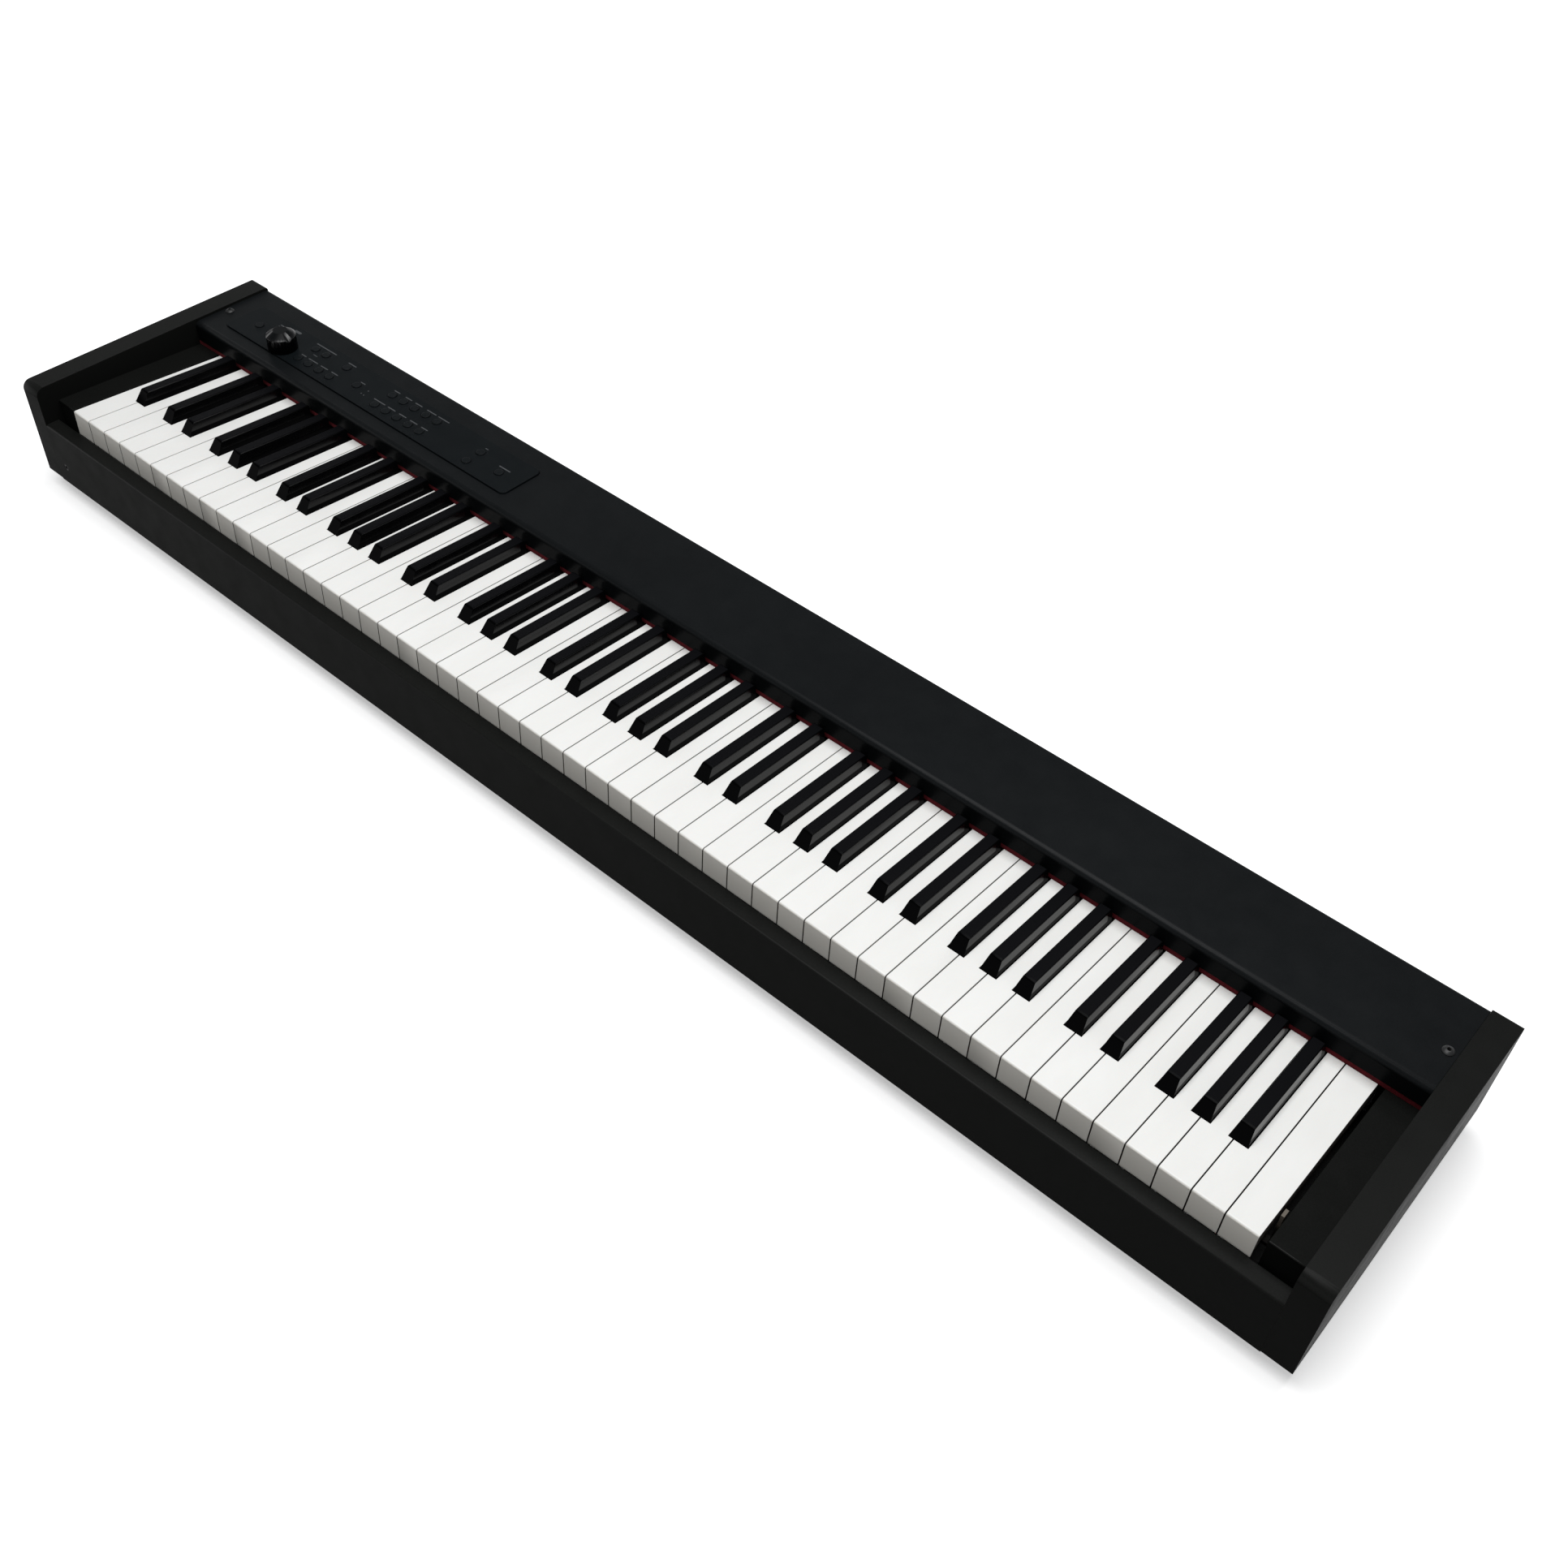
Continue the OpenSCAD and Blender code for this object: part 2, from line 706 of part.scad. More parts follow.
// Plate behind the opening in the rear board, and the sockets that it carries
jack_plate_t = 1.2;
plate_margin = 7;
plate_face = rear_inner;
jack_bush_r = 4.6;
midi_r = 7.6;
inlet_r = 5.5;
bush_play = 0.1;

module jack_plate() {
    color(case_black) difference() {
        block([recess_x - plate_margin, plate_face - jack_plate_t, recess_z - 3],
              [recess_x + recess_w + plate_margin, plate_face, recess_z + recess_h]);
        for (s = jack_spots) socket_hole(s, jack_bush_r + bush_play);
        for (s = midi_spots) socket_hole(s, midi_r + bush_play);
        socket_hole(inlet_spot, inlet_r + bush_play);
    }
}

// Horizontal cylinder along y at place s of the socket row, from y0 over the length l
module socket_cylinder(s, y0, l, r) {
    translate([recess_x + s, y0, socket_z]) rotate([-90, 0, 0]) cylinder(h = l, r = r);
}

module socket_hole(s, r) {
    socket_cylinder(s, plate_face - jack_plate_t - 1, jack_plate_t + 2, r);
}

module socket_body(s, w, h, l) {
    block([recess_x + s - w / 2, plate_face - jack_plate_t - l, socket_z - h / 2],
          [recess_x + s + w / 2, plate_face - jack_plate_t, socket_z + h / 2]);
}

// Line output and pedal jacks: a square body, a bush through the plate and a round nut
module jack_sockets() {
    body_l = 25;
    color(rubber_black) for (s = jack_spots) difference() {
        union() {
            socket_body(s, 15, 16, body_l);
            socket_cylinder(s, plate_face - jack_plate_t, jack_plate_t + 4, jack_bush_r);
            socket_cylinder(s, plate_face, 2.4, 7);
        }
        socket_cylinder(s, plate_face - jack_plate_t - body_l + 3, body_l + 8, jack_r);
    }
}

// Round five-pole sockets, each with a deep ring for the plug and its five pin holes
module midi_sockets() {
    color(rubber_black) for (s = midi_spots) difference() {
        union() {
            socket_body(s, 20, 19, 16);
            socket_cylinder(s, plate_face - jack_plate_t, jack_plate_t + 1, midi_r);
        }
        difference() {
            socket_cylinder(s, plate_face - jack_plate_t - 8, 12, midi_r - 0.8);
            socket_cylinder(s, plate_face - jack_plate_t - 9, 10, midi_r - 2.3);
        }
        for (a = [0:45:180]) translate([3.6 * cos(a), 0, 3.6 * sin(a)])
            socket_cylinder(s, plate_face - jack_plate_t - 6, 10, 0.8);
    }
}

// Barrel inlet for the supply, with its centre pin
module power_inlet() {
    color(rubber_black) difference() {
        union() {
            socket_body(inlet_spot, 12, 12, 14);
            socket_cylinder(inlet_spot, plate_face - jack_plate_t, jack_plate_t + 0.8, inlet_r);
        }
        difference() {
            socket_cylinder(inlet_spot, plate_face - jack_plate_t - 9, 13, 3.1);
            socket_cylinder(inlet_spot, plate_face - jack_plate_t - 10, 10, 1.05);
        }
    }
}

// Headphone jack in the rail's left end
module phones_jack() {
    color(rubber_black) translate([phones_x, front_y, phones_z]) rotate([-90, 0, 0]) difference() {
        union() {
            translate([0, 0, 0.3]) cylinder(h = rail_t + 1, r = phones_r - 0.02);
            translate([-6, -5, rail_t]) cube([12, 10, 12]);
        }
        translate([0, 0, -2]) cylinder(h = 17, r = 1.8);
    }
}

// Four rubber feet, each a short cone with a countersunk fixing hole
foot_r = 15;
foot_inset_x = 70;
foot_inset_y = 30;

module feet() {
    color(rubber_black) for (sx = [-1, 1], sy = [-1, 1])
        translate([sx * (body_w / 2 - foot_inset_x), sy * (body_d / 2 - foot_inset_y), 0]) difference() {
            rotate_extrude() rounded_outline([
                [[0, 0], 0], [[foot_r - 2, 0], 1.5], [[foot_r, foot_h], 0], [[0, foot_h], 0]
            ]);
            translate([0, 0, -1]) cylinder(h = foot_h - 5, r = 5);
        }
}

base_board();
cheek(-1);  // left_cheek
cheek(1);  // right_cheek
front_rail();
rear_board();
top_panel();
felt_strip();
key_blocks();
control_plate();
keybed_chassis();
key_guide_rail();
pivot_rail();
pivot_rod();
contact_board();
contact_rubber();
main_board();
button_board();
volume_pot();
jack_plate();
jack_sockets();
midi_sockets();
power_inlet();
phones_jack();
feet();
panel_screws();
white_keys(0);  // keys_a
white_keys(1);  // keys_b
white_keys(2);  // keys_c
white_keys(3);  // keys_d
white_keys(4);  // keys_e
white_keys(5);  // keys_f
white_keys(6);  // keys_g
black_keys(0);  // keys_a_sharp
black_keys(2);  // keys_c_sharp
black_keys(3);  // keys_d_sharp
black_keys(5);  // keys_f_sharp
black_keys(6);  // keys_g_sharp
volume_knob();
panel_button(0);  // power_button
panel_button(1);  // upper_button_1
panel_button(2);  // upper_button_2
panel_button(3);  // upper_button_3
panel_button(4);  // lower_button_1
panel_button(5);  // lower_button_2
panel_button(6);  // lower_button_3
panel_button(7);  // lower_button_4
panel_button(8);  // middle_button
panel_button(9);  // upper_bank_1
panel_button(10);  // upper_bank_2
panel_button(11);  // upper_bank_3
panel_button(12);  // upper_bank_4
panel_button(13);  // upper_bank_5
panel_button(14);  // lower_bank_1
panel_button(15);  // lower_bank_2
panel_button(16);  // lower_bank_3
panel_button(17);  // lower_bank_4
panel_button(18);  // lower_bank_5
panel_button(19);  // value_up_button
panel_button(20);  // value_down_button
panel_button(21);  // end_button
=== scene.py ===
"""Looks, light and camera for a slim stage piano.

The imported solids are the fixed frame. Lengths are in metres, unless a comment says mm.
"""

import math

import bpy
from mathutils import Matrix, Vector


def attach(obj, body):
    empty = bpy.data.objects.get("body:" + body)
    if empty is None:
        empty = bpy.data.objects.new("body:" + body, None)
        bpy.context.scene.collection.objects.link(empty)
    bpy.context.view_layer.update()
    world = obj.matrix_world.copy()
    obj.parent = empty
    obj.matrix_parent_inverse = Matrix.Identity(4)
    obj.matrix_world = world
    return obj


MM = 0.001
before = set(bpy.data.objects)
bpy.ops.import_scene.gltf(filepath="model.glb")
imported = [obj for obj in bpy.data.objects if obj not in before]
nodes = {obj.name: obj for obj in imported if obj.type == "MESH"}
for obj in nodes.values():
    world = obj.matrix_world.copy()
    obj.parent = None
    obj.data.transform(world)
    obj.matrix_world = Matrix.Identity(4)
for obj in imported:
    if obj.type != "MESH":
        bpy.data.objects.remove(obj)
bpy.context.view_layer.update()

WHITES = ["keys_" + letter for letter in "abcdefg"]
SHARPS = ["keys_" + letter + "_sharp" for letter in "acdfg"]
BUTTONS = [n for n in nodes if n != "button_board" and ("button" in n or "_bank_" in n)]

# Front edge of the white tops (y, z) and the slope at which the tops fall towards the back
KEY_FRONT = (-0.1117, 0.0991)
KEY_TILT = math.radians(4.28)

# Range that the values of a noise node mostly fill
NOISE = (0.3, 0.7)


class Tree:
    """A material's node tree, with short calls for the nodes that are used here."""

    def __init__(self, name):
        self.mat = bpy.data.materials.new(name)
        self.mat.use_nodes = True
        self.nt = self.mat.node_tree
        self.nt.nodes.clear()
        self.out = self.add("ShaderNodeOutputMaterial")
        self.bsdf = self.add("ShaderNodeBsdfPrincipled")
        self.link(self.bsdf.outputs[0], self.out.inputs["Surface"])
        self.coord = self.add("ShaderNodeTexCoord")

    def add(self, kind, **props):
        node = self.nt.nodes.new(kind)
        for key, value in props.items():
            setattr(node, key, value)
        return node

    def link(self, source, target):
        self.nt.links.new(source, target)

    def put(self, target, value):
        """Links a socket to the target, or sets a constant on it."""
        if isinstance(value, bpy.types.NodeSocket):
            self.link(value, target)
        else:
            target.default_value = value

    def set(self, **values):
        """Puts constants or links on the shader's own sockets; _ stands for a space."""
        for key, value in values.items():
            self.put(self.bsdf.inputs[key.replace("_", " ")], value)

    def noise(self, scale, detail=2.0, rough=0.5, stretch=None):
        """Fractal noise in object space, with the coordinates scaled by stretch if given."""
        node = self.add("ShaderNodeTexNoise", noise_type="FBM")
        node.inputs["Scale"].default_value = scale
        node.inputs["Detail"].default_value = detail
        node.inputs["Roughness"].default_value = rough
        place = self.coord.outputs["Object"]
        if stretch:
            mapping = self.add("ShaderNodeMapping")
            mapping.inputs["Scale"].default_value = stretch
            self.link(place, mapping.inputs["Vector"])
            place = mapping.outputs[0]
        self.link(place, node.inputs["Vector"])
        return node.outputs["Fac"]

    def voronoi(self, scale):
        node = self.add("ShaderNodeTexVoronoi", feature="F1")
        node.inputs["Scale"].default_value = scale
        self.link(self.coord.outputs["Object"], node.inputs["Vector"])
        return node.outputs["Distance"]

    def map(self, value, from_low, from_high, to_low, to_high):
        node = self.add("ShaderNodeMapRange", clamp=True)
        for i, v in enumerate((value, from_low, from_high, to_low, to_high)):
            self.put(node.inputs[i], v)
        return node.outputs[0]

    def math(self, operation, a, b=0.0):
        node = self.add("ShaderNodeMath", operation=operation)
        self.put(node.inputs[0], a)
        self.put(node.inputs[1], b)
        return node.outputs[0]

    def mix(self, factor, a, b):
        """Colour a where the factor is 0 and b where it is 1."""
        node = self.add("ShaderNodeMix", data_type="RGBA")
        # Sockets 6 and 7 are the two colours of the colour mix
        for i, v in ((0, factor), (6, a), (7, b)):
            self.put(node.inputs[i], v)
        return node.outputs[2]

    def axis(self, which, source="Normal"):
        """One component of the object-space normal, or of another coordinate output."""
        node = self.add("ShaderNodeSeparateXYZ")
        self.link(self.coord.outputs[source], node.inputs[0])
        return node.outputs["XYZ".index(which)]

    def side_facing(self):
        """How far a face looks left or right: 0 to 1."""
        return self.math("ABSOLUTE", self.axis("X"))

    def from_key_front(self):
        """The y and z distances from the front edge of the white tops."""
        y = self.math("ADD", self.axis("Y", "Object"), -KEY_FRONT[0])
        z = self.math("ADD", self.axis("Z", "Object"), -KEY_FRONT[1])
        return y, z

    def key_height(self):
        """Height over the sloping plane of the white tops."""
        y, z = self.from_key_front()
        y_part = self.math("MULTIPLY", y, math.sin(KEY_TILT))
        return self.math("ADD", y_part, self.math("MULTIPLY", z, math.cos(KEY_TILT)))

    def key_back(self):
        """Distance back from the key fronts, along the white tops."""
        y, z = self.from_key_front()
        y_part = self.math("MULTIPLY", y, math.cos(KEY_TILT))
        return self.math("SUBTRACT", y_part, self.math("MULTIPLY", z, math.sin(KEY_TILT)))

    def bump(self, *layers):
        """Stacked bump layers, each (height, strength, distance); returns the material."""
        normal = None
        for height, strength, distance in layers:
            node = self.add("ShaderNodeBump")
            node.inputs["Strength"].default_value = strength
            node.inputs["Distance"].default_value = distance
            self.link(height, node.inputs["Height"])
            if normal is not None:
                self.link(normal, node.inputs["Normal"])
            normal = node.outputs[0]
        self.link(normal, self.bsdf.inputs["Normal"])
        return self.mat


def rgb(r, g, b):
    return (r, g, b, 1.0)


def scaled(colour, k):
    return rgb(*(c * k for c in colour[:3]))


# How much lighter and darker than their colour the black finishes get, and the pebbles' depth
MOTTLING = 0.22
PEBBLE_DEPTH = 0.00006


def satin_black(name, colour, rough, spec, grain=1200, strength=0.6, side=1.0, shade=1.0):
    """Textured black finish: a pebbled grain, faint mottling and slightly uneven gloss.

    Faces that don't look up have their gloss scaled by side, and their colour darkened by the
    factor given for them, as painted shade.
    """
    t = Tree(name)
    pebble = t.noise(grain, detail=3.0, rough=0.6)
    cloud = t.noise(9, detail=4.0, rough=0.55)
    tone = t.math("ADD", t.math("MULTIPLY", pebble, 0.65), t.math("MULTIPLY", cloud, 0.35))
    dark, light = scaled(colour, 1 - MOTTLING), scaled(colour, 1 + MOTTLING)
    cover = t.mix(t.map(tone, 0.35, 0.65, 0, 1), dark, light)
    top = t.map(t.axis("Z"), 0.1, 0.6, 0, 1)
    t.set(
        # Faces that don't look up get their colour scaled down here: painted shade
        Base_Color=t.mix(top, scaled(colour, shade), cover),
        Roughness=t.map(t.noise(60, detail=3.0), *NOISE, rough - 0.04, rough + 0.05),
        Specular_IOR_Level=spec if side == 1.0 else t.map(top, 0, 1, spec * side, spec),
    )
    return t.bump((cloud, 0.05, 0.0004), (pebble, strength, PEBBLE_DEPTH))


# Heights between which a white key's flank passes from its cover to the bare body, which is
# coloured dark, partly its own colour and partly painted shade in the gaps between keys
COVER_EDGE = (-0.0014, -0.0020)


def ivory_material():
    """White key: a fine satin cover with soft handling marks and a painted warm cast of light on
    its front faces, over a bare body coloured dark, partly its own colour and partly painted
    shade in the gaps between keys.
    """
    t = Tree("key_ivory")
    grain = t.noise(2600, detail=2.0, rough=0.6, stretch=(1, 0.35, 1))
    marks = t.noise(28, detail=5.0, rough=0.6, stretch=(1.4, 0.5, 1))
    flank = t.map(t.side_facing(), 0.8, 0.98, 0, 1)
    # Flanks below the cover's edge take the bare body's colour, darkened beyond its own as
    # painted shade in the gaps between keys
    body = t.math("MULTIPLY", flank, t.map(t.key_height(), *COVER_EDGE, 0, 1))
    handled, clean = rgb(0.845, 0.843, 0.822), rgb(0.875, 0.875, 0.857)
    cover = t.mix(t.map(marks, 0.35, 0.7, 0, 1), handled, clean)
    # Front faces get a warmer, slightly darker colour: a painted warm cast of light
    front = t.map(t.axis("Y"), -0.9, -0.5, 1, 0)
    skin = t.mix(front, cover, rgb(0.86, 0.835, 0.775))
    t.set(
        Base_Color=t.mix(body, skin, rgb(0.10, 0.09, 0.08)),
        Roughness=t.map(marks, *NOISE, 0.36, 0.46),
        Specular_IOR_Level=0.4,
        Subsurface_Weight=0.04,
        Subsurface_Radius=(0.0012, 0.0009, 0.0007),
        Subsurface_Scale=1.0,
    )
    return t.bump((grain, 0.22, 0.00003))


# Heights between which a black key's flanks regain their shine above the foot, where it is taken
# away as painted shade, and distances back from the key fronts between which the shine of its
# flanks ends, taken away as painted shade near the fascia
FOOT_SHADE_BAND = (0.0040, 0.0047)
SHINE_END = (0.1445, 0.1455)


def ebony_material():
    """Black key: a grained matte top; a nose and flanks coloured darker than the top as painted
    shade; flanks that shine, except at the foot and the tail, where the shine is taken away as
    painted shade.
    """
    t = Tree("key_ebony")
    up = t.map(t.axis("Z"), 0.9, 0.985, 0, 1)
    grain = t.noise(1500, detail=3.0, rough=0.65, stretch=(1, 0.22, 1))
    marks = t.noise(45, detail=4.0, rough=0.6)
    flank = t.map(t.side_facing(), 0.55, 0.75, 0, 1)
    foot = t.map(t.key_height(), *FOOT_SHADE_BAND, 0, 1)
    tail = t.map(t.key_back(), *SHINE_END, 1, 0)
    # The flanks' shine is taken away at the foot and near the tail: painted shade
    shine = t.math("MULTIPLY", t.math("MULTIPLY", foot, tail), t.map(flank, 0, 1, 0.0, 0.27))
    wear = t.map(marks, *NOISE, -0.03, 0.04)
    t.set(
        # Faces that don't look up, the nose and flanks, get a darker colour than the top:
        # painted shade
        Base_Color=t.mix(up, rgb(0.0012, 0.0012, 0.0014), rgb(0.0034, 0.0035, 0.0042)),
        Roughness=t.math("ADD", t.map(up, 0, 1, 0.16, 0.42), wear),
        Specular_IOR_Level=t.math("ADD", shine, t.map(up, 0, 1, 0.02, 0.035)),
    )
    return t.bump((t.math("MULTIPLY", grain, up), 0.65, 0.00006))


def felt_material():
    """Dense felt: matted fibres, a soft nap and slightly uneven dye."""
    t = Tree("felt")
    fibre = t.noise(1300, detail=6.0, rough=0.75, stretch=(0.45, 1, 1))
    clump = t.noise(240, detail=4.0, rough=0.6)
    deep, faded = rgb(0.060, 0.004, 0.007), rgb(0.105, 0.006, 0.011)
    t.set(
        Base_Color=t.mix(t.map(clump, *NOISE, 0, 1), deep, faded),
        Roughness=0.95,
        Specular_IOR_Level=0.1,
        Sheen_Weight=0.07,
        Sheen_Roughness=0.5,
        Sheen_Tint=rgb(0.8, 0.3, 0.3),
    )
    return t.bump((clump, 0.4, 0.0004), (fibre, 0.9, 0.0003))


def rubber_material(name, colour):
    """Dull rubber with a fine skin and uneven dust."""
    t = Tree(name)
    skin = t.noise(900, detail=3.0, rough=0.6)
    dust = t.noise(35, detail=5.0, rough=0.65)
    dusting = t.map(dust, 0.4, 0.75, 0, 1)
    t.set(
        Base_Color=t.mix(dusting, scaled(colour, 0.85), scaled(colour, 1.35)),
        Roughness=t.map(dust, *NOISE, 0.62, 0.78),
        Specular_IOR_Level=0.3,
    )
    return t.bump((skin, 0.5, 0.00008))


def moulded(t):
    """Fine skin and faint flow marks of moulded plastic."""
    skin = t.noise(1800, detail=2.0, rough=0.55)
    flow = t.noise(50, detail=4.0, rough=0.5, stretch=(1, 0.4, 1))
    return skin, flow


def plain_plastic(name, colour, rough, spec):
    """Moulded plastic of one colour."""
    t = Tree(name)
    skin, flow = moulded(t)
    t.set(
        Base_Color=t.mix(t.map(flow, *NOISE, 0, 1), scaled(colour, 0.93), scaled(colour, 1.07)),
        Roughness=t.map(flow, *NOISE, rough - 0.05, rough + 0.06),
        Specular_IOR_Level=spec,
    )
    return t.bump((skin, 0.25, 0.00005))


# Heights over the white tops between which the tan plastic passes from near black, painted shade
# deep between the keys, to its own colour
TAN_SHADE_DEPTH = (-0.0160, -0.0110)


def tan_material():
    """Tan moulded plastic, painted near black deep between the keys as painted shade."""
    t = Tree("tan_plastic")
    skin, flow = moulded(t)
    # Deep between the keys the colour is near black: painted shade
    light = t.map(t.key_height(), *TAN_SHADE_DEPTH, 0, 1)
    low_tan, high_tan = rgb(0.125, 0.108, 0.088), rgb(0.145, 0.125, 0.100)
    bright = t.mix(t.map(flow, *NOISE, 0, 1), low_tan, high_tan)
    t.set(
        Base_Color=t.mix(light, rgb(0.014, 0.012, 0.010), bright),
        Roughness=t.map(flow, *NOISE, 0.45, 0.56),
        Specular_IOR_Level=0.2,
    )
    return t.bump((skin, 0.25, 0.00005))


def steel_material():
    """Plain galvanised steel: a faint spangle and a brushed gloss."""
    t = Tree("chassis_steel")
    brush = t.noise(420, detail=4.0, rough=0.6, stretch=(0.04, 1, 1))
    spangle = t.map(t.voronoi(90), 0, 0.9, 0, 1)
    t.set(
        Base_Color=t.mix(spangle, rgb(0.42, 0.43, 0.45), rgb(0.56, 0.57, 0.58)),
        Metallic=1.0,
        Roughness=t.map(brush, *NOISE, 0.3, 0.46),
    )
    return t.bump((brush, 0.2, 0.00003))


def board_material():
    """Circuit board: green mask over a faint mat of copper tracks."""
    t = Tree("circuit_board")
    weave = t.noise(520, detail=2.0, rough=0.5, stretch=(1, 0.15, 1))
    lines = t.noise(160, detail=0.0, rough=0.5, stretch=(0.12, 1, 1))
    track = t.map(lines, 0.5, 0.53, 0, 1)
    t.set(
        Base_Color=t.mix(track, rgb(0.012, 0.075, 0.034), rgb(0.03, 0.16, 0.06)),
        Roughness=0.35,
        Specular_IOR_Level=0.5,
    )
    return t.bump((weave, 0.2, 0.00003), (track, 0.3, 0.00003))


def knob_material():
    """Matte grained top and bevel, glossy finger scoops and a near-black skirt."""
    t = Tree("knob_plastic")
    up = t.map(t.axis("Z"), 0.74, 0.8, 0, 1)
    scoop = t.math("SUBTRACT", t.map(t.axis("Z"), 0.06, 0.12, 0, 1), up)
    grain = t.noise(700, detail=3.0, rough=0.6)
    scoop_gloss = t.math("MULTIPLY", scoop, 0.45)
    t.set(
        Base_Color=t.mix(up, rgb(0.0010, 0.0011, 0.0013), rgb(0.0034, 0.0040, 0.0045)),
        Roughness=t.map(up, 0, 1, 0.2, 0.36),
        Specular_IOR_Level=t.math("ADD", t.map(up, 0, 1, 0.05, 0.08), scoop_gloss),
    )
    return t.bump((t.math("MULTIPLY", grain, up), 0.4, 0.00005))


# Heights above the floor between which a screw's driving socket turns into its dome; the
# socket's floor below is painted near black as painted shade
SOCKET_MOUTH = (0.1126, 0.1129)


def screw_material():
    """Blackened screw head: a bright dome with worn gloss; the driving socket and the side wall
    painted near black and without gloss, painted shade.
    """
    t = Tree("screw_black")
    wear = t.noise(3000, detail=3.0, rough=0.6)
    flat = t.map(t.axis("Z"), 0.97, 0.99, 0, 1)
    deep = t.map(t.axis("Z", "Object"), *SOCKET_MOUTH, 1, 0)
    wall = t.map(t.math("ABSOLUTE", t.axis("Z")), 0.05, 0.1, 1, 0)
    # The socket's floor and the head's side wall are painted near black and lose their gloss:
    # painted shade
    dark = t.math("MAXIMUM", t.math("MULTIPLY", flat, deep), wall)
    t.set(
        Base_Color=t.mix(dark, rgb(0.018, 0.0185, 0.019), rgb(0.001, 0.001, 0.001)),
        Roughness=t.map(wear, *NOISE, 0.34, 0.42),
        Specular_IOR_Level=t.map(dark, 0, 1, 0.3, 0.0),
    )
    return t.bump((wear, 0.15, 0.00004))


def ink_material():
    """Screen-printed dim grey ink, slightly worn."""
    t = Tree("print_ink")
    worn = t.noise(900, detail=3.0, rough=0.7)
    thin, full = rgb(0.038, 0.041, 0.044), rgb(0.070, 0.074, 0.078)
    t.set(
        Base_Color=t.mix(t.map(worn, 0.35, 0.6, 0, 1), thin, full),
        Roughness=0.55,
        Specular_IOR_Level=0.3,
    )
    return t.bump((worn, 0.1, 0.00002))


CASE = (0.0078, 0.0082, 0.0076)
BACK = (0.015, 0.0155, 0.015)
PANEL = (0.0065, 0.0075, 0.0082)
PLATE = (0.0048, 0.0064, 0.0074)

case_black = satin_black("case_black", CASE, rough=0.38, spec=0.065, side=0.1)
back_black = satin_black("back_black", BACK, rough=0.55, spec=0.2, grain=900)
block_black = satin_black("block_black", scaled(CASE, 0.9), rough=0.2, spec=0.08, side=0.1)
# The panel's faces that don't look up, the fascia among them, are coloured darker: painted shade
panel_black = satin_black(
    "panel_black", PANEL, rough=0.32, spec=0.07, grain=1300, side=0.3, shade=0.45
)
plate_black = satin_black("plate_black", PLATE, rough=0.32, spec=0.065, grain=1600, strength=0.5)
# The buttons' faces that don't look up are coloured darker: painted shade round their rims
button_black = satin_black(
    "button_black", PLATE, rough=0.34, spec=0.08, grain=2400, strength=0.3, shade=0.3
)
ivory = ivory_material()
ebony = ebony_material()
felt_red = felt_material()
steel = steel_material()
board_green = board_material()
knob_black = knob_material()
ink = ink_material()
foot_rubber = rubber_material("foot_rubber", (0.014, 0.014, 0.014))
dome_rubber = rubber_material("dome_rubber", (0.05, 0.05, 0.052))
tan = tan_material()
socket_black = plain_plastic("socket_plastic", (0.006, 0.006, 0.0064), rough=0.4, spec=0.12)
screw_black = screw_material()

FINISHES = [
    (case_black, ["left_cheek", "right_cheek", "front_rail"]),
    (back_black, ["base_board", "rear_board"]),
    (block_black, ["key_blocks"]),
    (panel_black, ["top_panel", "jack_plate"]),
    (plate_black, ["control_plate"]),
    (button_black, BUTTONS),
    (ivory, WHITES),
    (ebony, SHARPS),
    (felt_red, ["felt_strip"]),
    (steel, ["keybed_chassis", "pivot_rod", "volume_pot"]),
    (board_green, ["contact_board", "main_board", "button_board"]),
    (knob_black, ["volume_knob"]),
    (foot_rubber, ["feet"]),
    (dome_rubber, ["contact_rubber"]),
    (tan, ["key_guide_rail", "pivot_rail"]),
    (socket_black, ["jack_sockets", "midi_sockets", "power_inlet", "phones_jack"]),
    (screw_black, ["panel_screws"]),
]
PAINT = {name: material for material, names in FINISHES for name in names}

# Width of the broken edges, in mm, on the nodes whose edges show
EDGE = {
    "base_board": 0.6,
    "left_cheek": 0.6,
    "right_cheek": 0.6,
    "front_rail": 0.5,
    "rear_board": 0.5,
    "key_blocks": 0.5,
    "top_panel": 0.25,
    "control_plate": 0.3,
    "volume_knob": 0.25,
    "panel_screws": 0.15,
    "jack_sockets": 0.2,
    "midi_sockets": 0.15,
    "power_inlet": 0.15,
    "feet": 0.5,
}
EDGE.update({name: 0.45 for name in WHITES})
EDGE.update({name: 0.7 for name in SHARPS})

# Corners closer than this are one; flatter edges are dissolved, and sharper ones are bevelled
WELD_DISTANCE = 1e-6
FLAT_ANGLE = math.radians(1.5)
BEVEL_ANGLE = math.radians(28)


def soften(obj, width):
    """Breaks the sharp edges: welds split corners, joins flat triangles and bevels by angle."""
    weld = obj.modifiers.new("weld", "WELD")
    weld.merge_threshold = WELD_DISTANCE
    flat = obj.modifiers.new("flat", "DECIMATE")
    flat.decimate_type = "DISSOLVE"
    flat.angle_limit = FLAT_ANGLE
    bevel = obj.modifiers.new("bevel", "BEVEL")
    bevel.width = width * MM
    bevel.segments = 3
    bevel.limit_method = "ANGLE"
    bevel.angle_limit = BEVEL_ANGLE
    bevel.use_clamp_overlap = True
    bevel.harden_normals = True


for name, obj in nodes.items():
    obj.data.materials.clear()
    obj.data.materials.append(PAINT[name])
    if name in EDGE:
        soften(obj, EDGE[name])


def mesh_piece(name, verts, faces, material, body):
    """A visible piece of its own that rides on a body and takes a material slot."""
    mesh = bpy.data.meshes.new(name)
    mesh.from_pydata([Vector(v) for v in verts], [], faces)
    mesh.update()
    obj = bpy.data.objects.new(name, mesh)
    bpy.context.scene.collection.objects.link(obj)
    mesh.materials.append(material)
    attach(obj, body)


